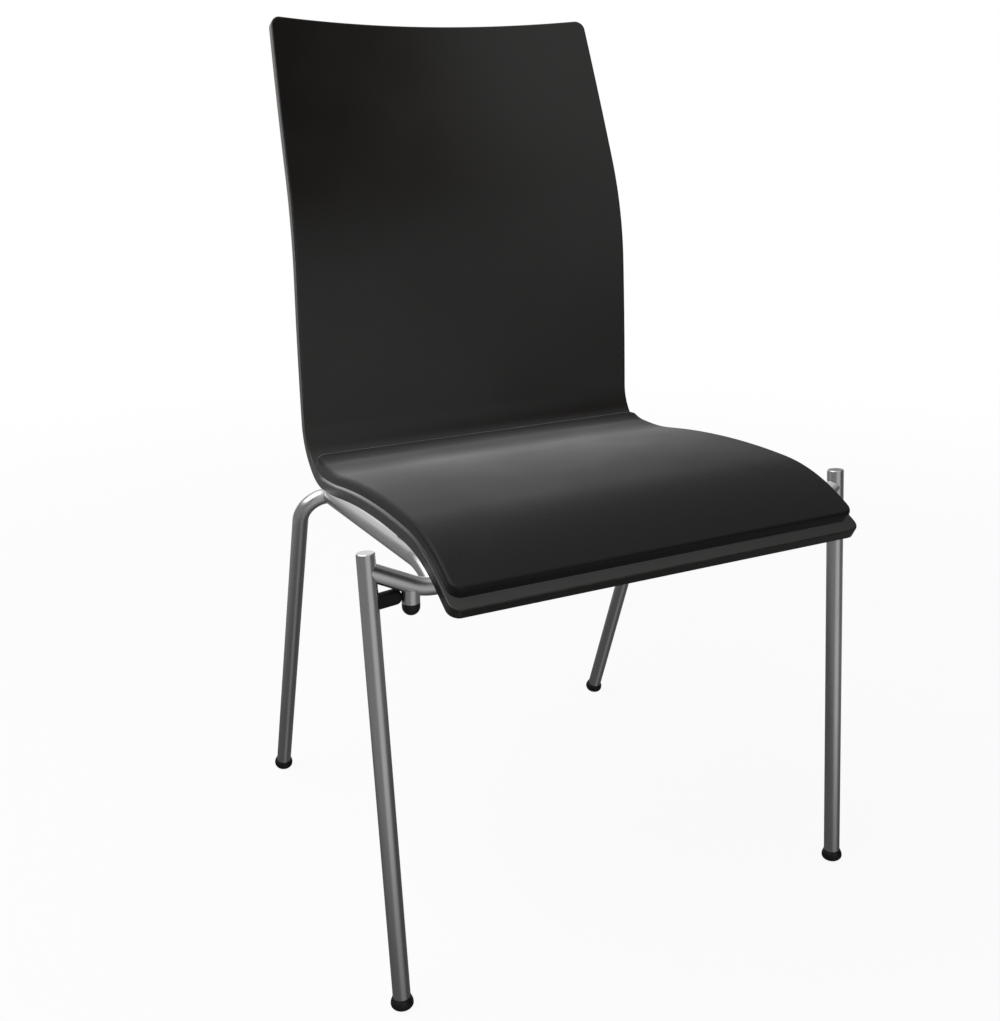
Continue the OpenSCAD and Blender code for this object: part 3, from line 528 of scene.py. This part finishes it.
def make_shell(material):
    """The one-piece moulded seat and back."""
    sheet = Sheet(0.0, TOP_S, FRONT_CORNER_R, TOP_CORNER_R, inset=0.0, draw_in=0.0,
                  edge_r=SHELL_EDGE_R)
    shell = sheet_mesh(
        "moulded_shell", sheet,
        lambda s, x: SHELL_T / 2 - sheet.lost(s, x),
        lambda s, x: sheet.lost(s, x) - SHELL_T / 2,
        turn=2.5, length=12.0, shares=18,
        rim=round_rim(SHELL_EDGE_R, degrees=(0, 22, 45, 67, 90), margin=1.5),
        wall=(0.08, 0.5, 0.92))[0]
    dress(shell, material, "stained_ply", "seat_shell")


def fill_cover(piece, held):
    """Lets the foam's pressure fill the cover, with the held points at rest, and keeps the result,
    scaled down so that no point moves by more than the swell."""
    scene = bpy.context.scene
    group = piece.vertex_groups.new(name="held")
    group.add(held, 1.0, "REPLACE")
    cloth = piece.modifiers.new("cover", "CLOTH")
    cloth.settings.quality = 6
    cloth.settings.mass = 0.4
    cloth.settings.tension_stiffness = 30.0
    cloth.settings.compression_stiffness = 30.0
    cloth.settings.shear_stiffness = 15.0
    cloth.settings.bending_stiffness = 5.0
    cloth.settings.vertex_group_mass = group.name
    cloth.settings.use_pressure = True
    cloth.settings.uniform_pressure_force = PAD_PRESSURE
    cloth.settings.effector_weights.gravity = 0.0
    cloth.collision_settings.use_collision = False
    for number in range(1, SETTLE_FRAMES + 1):
        scene.frame_set(number)
    filled = piece.evaluated_get(bpy.context.evaluated_depsgraph_get())
    moves = [end.co - start.co for start, end in zip(piece.data.vertices, filled.data.vertices)]
    piece.modifiers.remove(cloth)
    piece.vertex_groups.remove(group)
    most = max(move.length for move in moves)
    for point, move in zip(piece.data.vertices, moves):
        point.co += move * min(1.0, PAD_SWELL * MM / most)
    scene.frame_set(1)


def make_pad(material):
    """The upholstered pad: flat below, with firm walls, a small soft rim and a slight crown."""
    low = SHELL_T / 2 + PAD_GAP
    sheet = Sheet(PAD_FRONT_INSET, PAD_END_S, PAD_FRONT_CORNER_R, PAD_REAR_CORNER_R,
                  inset=PAD_SIDE_INSET, draw_in=PAD_DRAW_IN, edge_r=PAD_EDGE_R)

    def top(s, x):
        u = (s - sheet.s0) / (sheet.s1 - sheet.s0)
        crown = PAD_CROWN * (1 - (x / half_width(s)) ** 2) * math.sin(math.pi * u)
        bridge = PAD_BRIDGE * math.exp(-((s - BEND_S - PAD_BRIDGE_AT) / PAD_BRIDGE_LEN) ** 2)
        return low + PAD_H - PAD_SLACK + crown + bridge - sheet.lost(s, x)

    pad, held = sheet_mesh(
        "upholstered_pad", sheet, top, lambda s, x: low,
        turn=3.0, length=8.0, shares=26,
        rim=round_rim(PAD_EDGE_R, degrees=(0, 30, 50, 70, 90), margin=2.0),
        wall=(0.2, 0.5, 0.8))
    fill_cover(pad, held)
    smooth = pad.modifiers.new("smooth", "SUBSURF")
    smooth.levels = 1
    smooth.render_levels = 1
    dress(pad, material, "pad_cover", "seat_pad", "pad_board")


# Floor, background and lights

def room_level(tree, direction):
    """How bright the room is in a direction: pale in front, grey at the sides, dark to the front
    and +X, brightest low behind the chair, and pale high up."""
    way = add(tree, "VectorMath", {0: direction}, operation="NORMALIZE")
    height = add(tree, "SeparateXYZ", {"Vector": way}, output="Z")
    level = add(tree, "VectorMath", {0: way, 1: (1.0, 1.0, 0.0)}, operation="MULTIPLY")
    level = add(tree, "VectorMath", {0: level}, operation="NORMALIZE")
    near_front, near_dark, near_backdrop = (
        add(tree, "VectorMath", {0: level, 1: middle}, "Value", operation="DOT_PRODUCT")
        for middle in (FRONT_WAY, DARK_WAY, BACKDROP_WAY))
    front = add(tree, "MapRange", {
        "Value": near_front, "From Min": FRONT_FADE[0], "From Max": FRONT_FADE[1],
        "To Min": SIDE_LEVEL, "To Max": FRONT_LEVEL}, interpolation_type="SMOOTHSTEP")
    darkest = add(tree, "MapRange", {
        "Value": height, "From Min": DARK_FLOOR_TOP[0], "From Max": DARK_FLOOR_TOP[1],
        "To Min": DARK_FLOOR_SHARE, "To Max": DARK_SHARE}, interpolation_type="SMOOTHSTEP")
    dark = add(tree, "MapRange", {
        "Value": near_dark, "From Min": DARK_FADE[0], "From Max": DARK_FADE[1],
        "To Min": 1.0, "To Max": darkest}, interpolation_type="SMOOTHSTEP")
    room = add(tree, "Math", {0: front, 1: dark}, operation="MULTIPLY")
    wall = add(tree, "MapRange", {
        "Value": height, "From Min": BACKDROP_TOP[0], "From Max": BACKDROP_TOP[1],
        "To Min": BACKDROP_LEVEL, "To Max": HIGH_LEVEL}, interpolation_type="SMOOTHSTEP")
    backdrop = add(tree, "MapRange", {
        "Value": near_backdrop, "From Min": BACKDROP_FADE[0], "From Max": BACKDROP_FADE[1],
        "To Min": 0.0, "To Max": 1.0}, interpolation_type="SMOOTHSTEP")
    above_floor = add(tree, "MapRange", {
        "Value": height, "From Min": FLOOR_BEHIND_TOP[0], "From Max": FLOOR_BEHIND_TOP[1],
        "To Min": 0.0, "To Max": 1.0}, interpolation_type="SMOOTHSTEP")
    behind = add(tree, "Math", {0: backdrop, 1: above_floor}, operation="MULTIPLY")
    room = add(tree, "MixRGB", {"Fac": behind, "Color1": room, "Color2": wall})
    ceiling = add(tree, "MapRange", {
        "Value": height, "From Min": WALL_TOP[0], "From Max": WALL_TOP[1],
        "To Min": 0.0, "To Max": 1.0}, interpolation_type="SMOOTHSTEP")
    return add(tree, "MixRGB", {"Fac": ceiling, "Color1": room, "Color2": grey(HIGH_LEVEL)})


def mirrored_ray(tree):
    """1 where metal, gloss or a clear surface shows what lies there."""
    glossy = add(tree, "LightPath", output="Is Glossy Ray")
    clear = add(tree, "LightPath", output="Is Transmission Ray")
    return add(tree, "Math", {0: glossy, 1: clear}, operation="MAXIMUM")


def studio_floor():
    """A plain pale floor. The camera sees it white with a faint soft shadow of the chair, and
    metal shows the room's level through it, with painted shade under the chair."""
    made, tree = new_material("pale_floor")
    painted = add(tree, "BsdfDiffuse", {"Color": linear("#fdfdfd")})
    away = add(tree, "VectorMath", {0: add(tree, "TexCoord", output="Object")}, "Value",
               operation="LENGTH")
    share = add(tree, "MapRange", {
        "Value": away, "From Min": FLOOR_REACH[0], "From Max": FLOOR_REACH[1],
        "To Min": FLOOR_SHARE, "To Max": 1.0}, interpolation_type="SMOOTHSTEP")
    part = add(tree, "Math", {0: add(tree, "LightPath", output="Is Camera Ray"), 1: share},
               operation="MULTIPLY")
    glow = add(tree, "Emission", {"Color": WHITE, "Strength": 1.0})
    surface = add(tree, "MixShader", {0: part, 1: painted, 2: glow})
    # Painted shade under the chair, seen only in metal: the room shows through the floor darker there
    under = add(tree, "MapRange", {
        "Value": away, "From Min": UNDER_SHADE_REACH[0], "From Max": UNDER_SHADE_REACH[1],
        "To Min": UNDER_SHADE_LEVEL, "To Max": 1.0}, interpolation_type="SMOOTHSTEP")
    beyond = add(tree, "BsdfTransparent", {"Color": under})
    surface = add(tree, "MixShader", {0: mirrored_ray(tree), 1: surface, 2: beyond})
    add(tree, "OutputMaterial", {"Surface": surface})
    made.cycles.emission_sampling = "NONE"
    bpy.ops.mesh.primitive_plane_add(size=FLOOR_SIZE, location=(0, 0, 0))
    floor = bpy.context.object
    floor.name = "floor"
    floor.data.materials.append(made)


def studio_world():
    """A pale room. It lights the object evenly, metal and gloss show its parts, and the camera
    sees it as a white background."""
    world = bpy.data.worlds.new("studio")
    bpy.context.scene.world = world
    world.use_nodes = True
    tree = world.node_tree
    tree.nodes.clear()
    room = room_level(tree, add(tree, "TexCoord", output="Generated"))
    seen = add(tree, "MixRGB", {"Fac": mirrored_ray(tree), "Color1": grey(ROOM_LEVEL), "Color2": room})
    seen = add(tree, "MixRGB", {"Fac": add(tree, "LightPath", output="Is Camera Ray"), "Color1": seen,
                                "Color2": WHITE})
    background = add(tree, "Background", {"Color": seen, "Strength": 1.0})
    add(tree, "OutputWorld", {"Surface": background})
    world.cycles.sampling_method = "NONE"


def soft_box(name, place, aim, width, depth, level):
    """A soft box of the given brightness, where white is 1. Lengths are in metres."""
    data = bpy.data.lights.new(name, "AREA")
    data.shape = "RECTANGLE"
    data.size = width
    data.size_y = depth
    data.energy = level * math.pi * width * depth
    box = bpy.data.objects.new(name, data)
    box.location = place
    box.rotation_euler = (Vector(aim) - Vector(place)).to_track_quat("-Z", "Y").to_euler()
    box.visible_camera = False
    bpy.context.scene.collection.objects.link(box)


make_camera()
finishes = {
    "frame_tube": satin_chrome(),
    "black_plastic": black_polyamide(),
    "buffer_rubber": moulded_rubber(),
    "zinc_steel": zinc_plate(),
    "insert_brass": turned_brass(),
    "board_ply": raw_birch_ply(),
    "stained_ply": stained_beech_ply(),
    "pad_cover": pad_leather()}
for row in frame["record"]["subparts"]:
    piece = nodes[row["node"]]
    piece.data.materials.clear()
    piece.data.materials.append(finishes[row["material_slot"]])
make_shell(finishes["stained_ply"])
make_pad(finishes["pad_cover"])
studio_floor()
studio_world()
soft_box("key_box", place=(-1.2, 0.2, 2.2), aim=(0.0, 0.0, 0.4), width=2.6, depth=2.2, level=1.9)
bpy.context.scene.view_settings.view_transform = "Standard"
